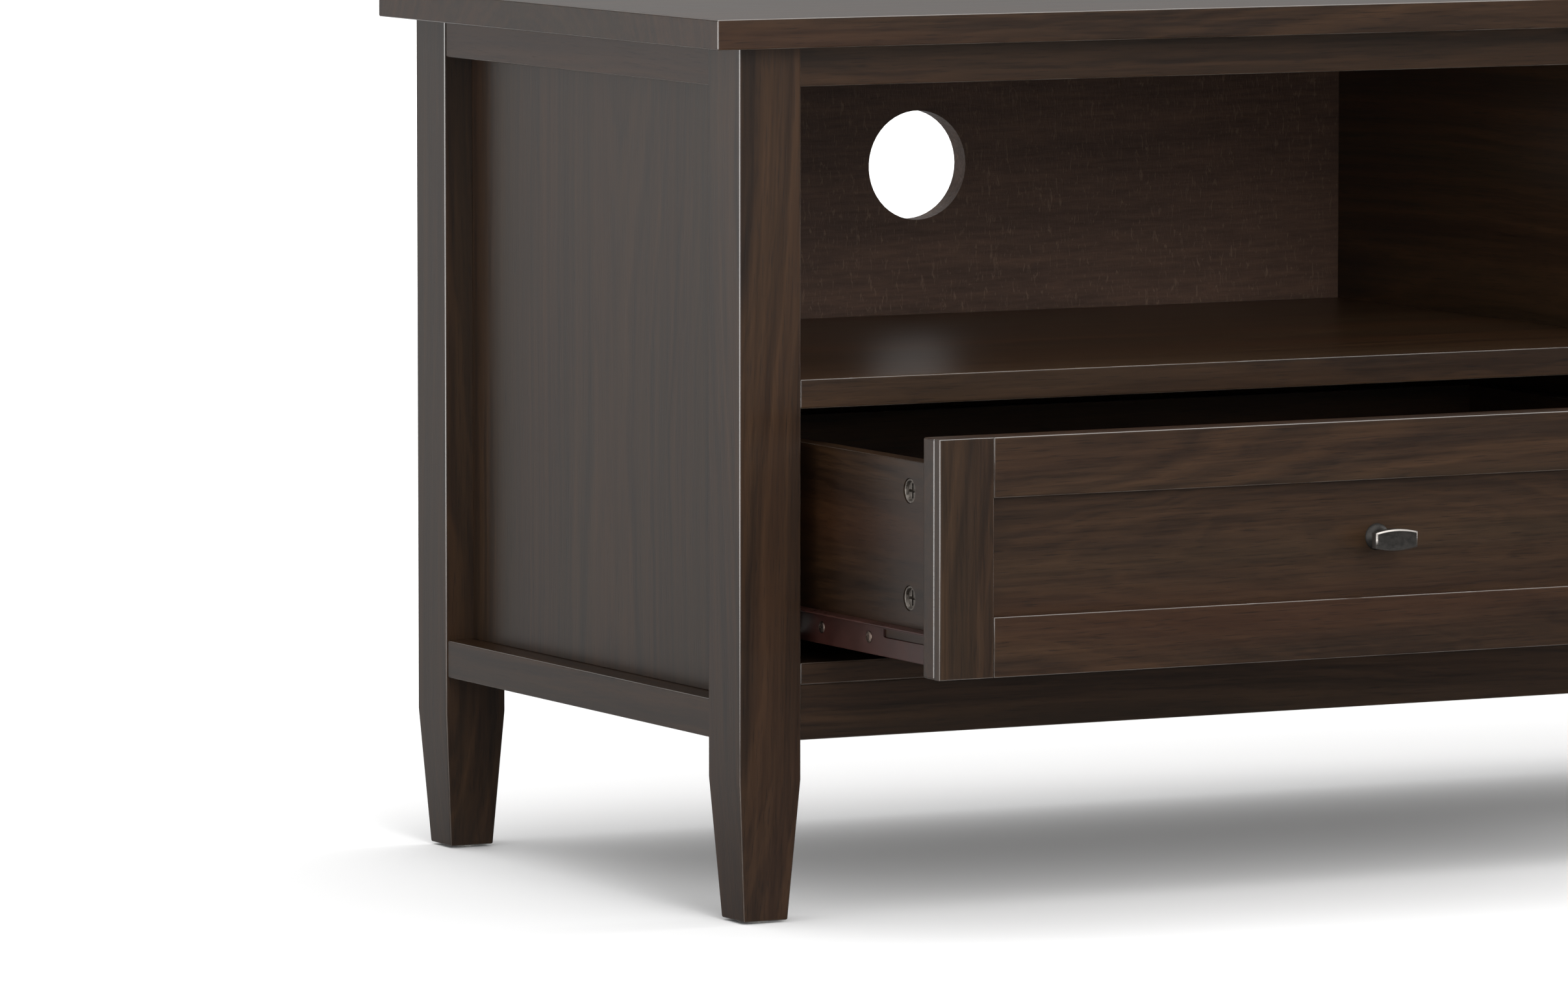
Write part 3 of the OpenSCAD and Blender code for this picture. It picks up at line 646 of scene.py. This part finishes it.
SCREW_STEPS = 20
CAM_STEPS = 48
GLIDE_STEPS = 32
CAM_WIDEST = 20 * MM
CAM_SUNK = 1.7 * MM
CAM_CROSS = (1.7 * MM, 9.0 * MM, 2.4 * MM)
GLIDE_DISC_LEAST = 0.3 * MM
GLIDE_NAIL_R = 1.2 * MM
GLIDE_NAIL_POINT = 2 * MM


def cut_cross(bm, height, width, length, depth):
    """Cuts a cross recess into bm from a height on the Z axis, going in along +Z."""
    body = add_object("target", mesh_from("target", bm))
    cutter_bm = bmesh.new()
    for a, b in ((width, length), (length, width)):
        size = Matrix.Diagonal((a, b, 2 * depth, 1))
        bmesh.ops.create_cube(cutter_bm, size=1, matrix=placed((0, 0, height), UPWARD) @ size)
    cutter = add_object("cutter", mesh_from("cutter", cutter_bm))
    modifier = body.modifiers.new("cut", "BOOLEAN")
    modifier.object = cutter
    modifier.operation = "DIFFERENCE"
    modifier.solver = "EXACT"
    modifier.use_self = True
    graph = bpy.context.evaluated_depsgraph_get()
    result = bmesh.new()
    result.from_mesh(body.evaluated_get(graph).to_mesh())
    for o in (body, cutter):
        bpy.data.objects.remove(o)
    return result


def screw_bmesh(length, head_r, shank_r, head_t):
    """A cross-head wood screw along +Z, with the top of its head at Z = 0."""
    profile = [(0, head_r * 0.42), (head_t * 0.10, head_r * 0.72), (head_t * 0.38, head_r * 0.94),
               (head_t * 0.72, head_r), (head_t, head_r * 0.97), (head_t, shank_r)]
    pitch = shank_r * 0.9
    at = head_t + 2 * pitch
    while at < length - 2.5 * pitch:
        profile += [(at, shank_r * 0.72), (at + pitch / 2, shank_r)]
        at += pitch
    profile += [(length - 1.5 * pitch, shank_r * 0.6), (length, shank_r * 0.08)]
    bm = bmesh.new()
    lathe(bm, profile, (0, 0, 0), UPWARD, SCREW_STEPS)
    return cut_cross(bm, 0, head_r * 0.22, head_r * 1.05, head_t * 0.6)


def stamp(bm, template, at, along):
    """Adds a copy of the template mesh to bm, turned so that its +Z lies along a direction."""
    before = len(bm.verts)
    bm.from_mesh(template)
    bm.verts.ensure_lookup_table()
    bmesh.ops.transform(bm, matrix=placed(at, along), verts=bm.verts[before:])


def make_screws(node):
    """Cross-head screws in place of the plain ones."""
    templates = {}
    bm = bmesh.new()
    for low, high, points in islands(node):
        start, along, length, head_r, shank_r = fastener_line(low, high, points)
        key = tuple(round(x / MM, 1) for x in (length, head_r, shank_r))
        if key not in templates:
            axis = max(range(3), key=lambda i: abs(along[i]))
            depths = sorted({round(abs(p[axis] - start[axis]), 5) for p in points})
            templates[key] = mesh_from("screw", screw_bmesh(length, head_r, shank_r, depths[1]))
        stamp(bm, templates[key], start, along)
    mark_sharp(bm, METAL_CREASE)
    new_piece(node, "_cross_head", bm)


def make_cams(node):
    """Cam locks with a rim and a cross, and their bolts."""
    bm = bmesh.new()
    cams, bolts = [], []
    for low, high, points in islands(node):
        (cams if (high - low).y < CAM_WIDEST else bolts).append((low, high, points))
    middle = sum((low.x + high.x for low, high, _ in cams)) / (2 * len(cams))
    for low, high, _ in cams:
        size, centre = high - low, (low + high) / 2
        inward = Vector((1 if centre.x < middle else -1, 0, 0))
        face = centre - inward * size.x / 2
        r, t = size.z / 2, size.x
        cam = bmesh.new()
        lathe(cam, [(CAM_SUNK, r * 0.74), (0.2 * MM, r * 0.80), (0, r * 0.84), (0, r * 0.95),
                    (0.3 * MM, r), (t, r)], (0, 0, 0), UPWARD, CAM_STEPS)
        stamp(bm, mesh_from("cam", cut_cross(cam, CAM_SUNK, *CAM_CROSS)), face, inward)
    for low, high, points in bolts:
        start, along, length, head_r, shank_r = fastener_line(low, high, points)
        lathe(bm, [(0, head_r * 0.5), (0.4 * MM, head_r), (2.1 * MM, head_r), (2.5 * MM, shank_r * 0.7),
                   (5 * MM, shank_r * 0.7), (6 * MM, shank_r), (length - 2 * MM, shank_r),
                   (length, shank_r * 0.5)], start, along, SCREW_STEPS)
    mark_sharp(bm, METAL_CREASE)
    new_piece(node, "_cast", bm)


def make_glides(node):
    """Nail-on glides with rounded rims."""
    bm = bmesh.new()
    for low, high, points in islands(node):
        centre = (low + high) / 2
        r = (high.x - low.x) / 2
        t = min(p.z - low.z for p in points if p.z > low.z + GLIDE_DISC_LEAST)
        lathe(bm, [(0, r * 0.84), (0.15 * t, r * 0.93), (0.5 * t, r), (t, r), (t, GLIDE_NAIL_R),
                   (high.z - low.z - GLIDE_NAIL_POINT, GLIDE_NAIL_R),
                   (high.z - low.z, GLIDE_NAIL_R * 0.1)],
              (centre.x, centre.y, low.z), UPWARD, GLIDE_STEPS)
    mark_sharp(bm, BOARD_CREASE)
    new_piece(node, "_rounded", bm)


make_screws("carcass_screws")
make_glides("floor_glides")
dowels = frame["nodes"]["carcass_dowels"].data
dowels.materials.clear()
dowels.materials.append(MATERIALS["dowel_wood"])
for side in SIDES:
    make_screws(side + "_drawer_screws")
    make_cams(side + "_drawer_cams")


# ---------------------------------------------------------------- knobs

KNOB_HEIGHT, KNOB_END_HEIGHT = 12.8 * MM, 9.2 * MM
KNOB_HEAD = 5.5 * MM
KNOB_BASE_R, KNOB_NECK_R = 8.0 * MM, 4.5 * MM
KNOB_ARC_STEPS = 24
KNOB_NECK_STEPS = 40
KNOB_END_FROM = 0.49


def knob_outline(width, inset):
    """Flat ends joined by two shallow arcs, moved in by inset."""
    rise = (KNOB_HEIGHT - KNOB_END_HEIGHT) / 2
    radius = (width * width / 4 + rise * rise) / (2 * rise)
    half = width / 2 - inset
    points = []
    for sign in (1, -1):
        for i in range(KNOB_ARC_STEPS + 1):
            x = sign * half * (1 - 2 * i / KNOB_ARC_STEPS)
            z = math.sqrt((radius - inset) ** 2 - x * x) - (radius - KNOB_HEIGHT / 2)
            points.append((x, sign * z))
    return points


def make_knob(node):
    """A pillow-shaped head with bevelled rims, on a turned neck and base."""
    low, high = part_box(node)
    centre_x, centre_z = (low.x + high.x) / 2, (low.z + high.z) / 2
    width, front, back = high.x - low.x, low.y, high.y
    # Each ring of the head: how far in, how far from the front, and how much of the bright rim colour it
    # takes, partly rubbed pewter and partly a painted highlight
    rings = [(3.6 * MM, 0.12 * MM, 0.0), (1.30 * MM, 0.05 * MM, 0.0), (1.10 * MM, 0, 0.4),
             (0.95 * MM, 0.08 * MM, 1.0), (0.20 * MM, 0.75 * MM, 1.0), (0.04 * MM, 0.95 * MM, 0.4),
             (0, 1.15 * MM, 0.0), (0, KNOB_HEAD - 0.7 * MM, 0.0), (0.1 * MM, KNOB_HEAD - 0.3 * MM, 0.6),
             (0.5 * MM, KNOB_HEAD, 0.3)]
    bm = bmesh.new()
    wear_and_highlight_layer = bm.verts.layers.float.new("wear_and_highlight")
    loops = []
    for inset, depth, wear_and_highlight in rings:
        loop = []
        for x, z in knob_outline(width, inset):
            vert = bm.verts.new((centre_x + x, front + depth, centre_z + z))
            vert[wear_and_highlight_layer] = wear_and_highlight
            loop.append(vert)
        loops.append(loop)
    count = len(loops[0])
    for a, b in zip(loops, loops[1:]):
        for i in range(count):
            j = (i + 1) % count
            bm.faces.new((a[i], b[i], b[j], a[j]))
    bm.faces.new(loops[0])
    bm.faces.new(loops[-1][::-1])
    reach = back - front
    lathe(bm, [(KNOB_HEAD - 0.6 * MM, KNOB_NECK_R * 1.35), (KNOB_HEAD + 0.4 * MM, KNOB_NECK_R * 1.1),
               (KNOB_HEAD + 1.8 * MM, KNOB_NECK_R), (reach - 5.0 * MM, KNOB_NECK_R),
               (reach - 3.2 * MM, KNOB_NECK_R * 1.12), (reach - 1.9 * MM, KNOB_BASE_R * 0.82),
               (reach - 1.0 * MM, KNOB_BASE_R * 0.97), (reach, KNOB_BASE_R)],
          (centre_x, front, centre_z), BACKWARD, KNOB_NECK_STEPS)
    bmesh.ops.recalc_face_normals(bm, faces=bm.faces)
    bm.normal_update()
    # The head's two end faces, which the material paints lighter as painted light
    end = bm.faces.layers.float.new("end")
    for face in bm.faces:
        face[end] = float(abs(face.calc_center_median().x - centre_x) > KNOB_END_FROM * width)
    mark_sharp(bm, KNOB_CREASE)
    new_piece(node, "_cast", bm)


for side in SIDES:
    make_knob(side + "_drawer_knob")


# ---------------------------------------------------------------- studio

def make_floor():
    """A pale floor. Reflections show it dim in front, brighter behind and as a card at the left."""
    bm = bmesh.new()
    bmesh.ops.create_grid(bm, x_segments=1, y_segments=1, size=FLOOR_HALF)
    floor = add_object("studio_floor", mesh_from("studio_floor", bm))
    made, n = material("pale_floor")
    place = n.add("ShaderNodeNewGeometry").outputs["Position"]
    reflected = n.remap(n.dot(place, BEHIND_TOWARD), *BEHIND_REACH, *FLOOR_REFLECTED, smooth=True)
    glossy = n.add("ShaderNodeLightPath").outputs["Is Glossy Ray"]
    colour = n.mix(glossy, FLOOR_COLOUR, reflected)
    card = n.remap(n.dot(place, CARD_TOWARD), *CARD_REACH, 0, CARD_STRENGTH, smooth=True)
    n.surface(Base_Color=colour, Roughness=0.9, Specular_IOR_Level=0.0, Emission_Color=(1, 1, 1, 1),
              Emission_Strength=n.maths("MULTIPLY", glossy, card))
    floor.data.materials.append(made)


def sky(n, direction, even, lights):
    """An even sky with soft round lights in it."""
    total = even
    for azimuth, height, tight, strength in lights:
        azimuth, height = math.radians(azimuth), math.radians(height)
        centre = (math.sin(azimuth) * math.cos(height), -math.cos(azimuth) * math.cos(height),
                  math.sin(height))
        fade = n.maths("EXPONENT", n.maths("MULTIPLY_ADD", n.dot(direction, centre), tight, -tight))
        total = n.maths("MULTIPLY_ADD", fade, strength, total)
    return n.add("ShaderNodeBackground", {"Color": (1, 1, 1, 1), "Strength": total}).outputs[0]


def make_world():
    """A white backdrop, the soft lights that shine on the cabinet, and those that it reflects."""
    world = bpy.data.worlds.new("studio")
    world.use_nodes = True
    bpy.context.scene.world = world
    n = Nodes(world.node_tree)
    direction = n.add("ShaderNodeTexCoord").outputs["Generated"]
    ray = n.add("ShaderNodeLightPath").outputs
    backdrop = sky(n, direction, BACKDROP, [])
    shining = sky(n, direction, SKY_LIGHT, LIGHTS)
    reflected = sky(n, direction, SKY_REFLECTED, REFLECTED_LIGHTS)
    lit = n.add("ShaderNodeMixShader", {0: ray["Is Glossy Ray"], 1: shining, 2: reflected})
    whole = n.add("ShaderNodeMixShader", {0: ray["Is Camera Ray"], 1: lit.outputs[0], 2: backdrop})
    n.add("ShaderNodeOutputWorld", {"Surface": whole.outputs[0]})


def make_camera():
    """The camera at the photograph's viewing angle, aimed from the front left post's corner."""
    post_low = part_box("front_left_post")[0]
    aim = Vector((post_low.x + CAMERA_AIM_IN, post_low.y, CAMERA_AIM_UP))
    forward = Vector((math.sin(CAMERA_AZIMUTH) * math.cos(CAMERA_DOWN),
                      math.cos(CAMERA_AZIMUTH) * math.cos(CAMERA_DOWN), -math.sin(CAMERA_DOWN)))
    data = bpy.data.cameras.new("camera")
    data.lens = CAMERA_LENS
    data.sensor_width = CAMERA_SENSOR
    data.clip_start, data.clip_end = CAMERA_CLIP
    camera = add_object("camera", data)
    camera.location = aim - forward * CAMERA_DISTANCE
    camera.rotation_euler = forward.to_track_quat("-Z", "Y").to_euler()
    bpy.context.scene.camera = camera


make_floor()
make_world()
make_camera()
bpy.context.scene.view_settings.view_transform = "Standard"
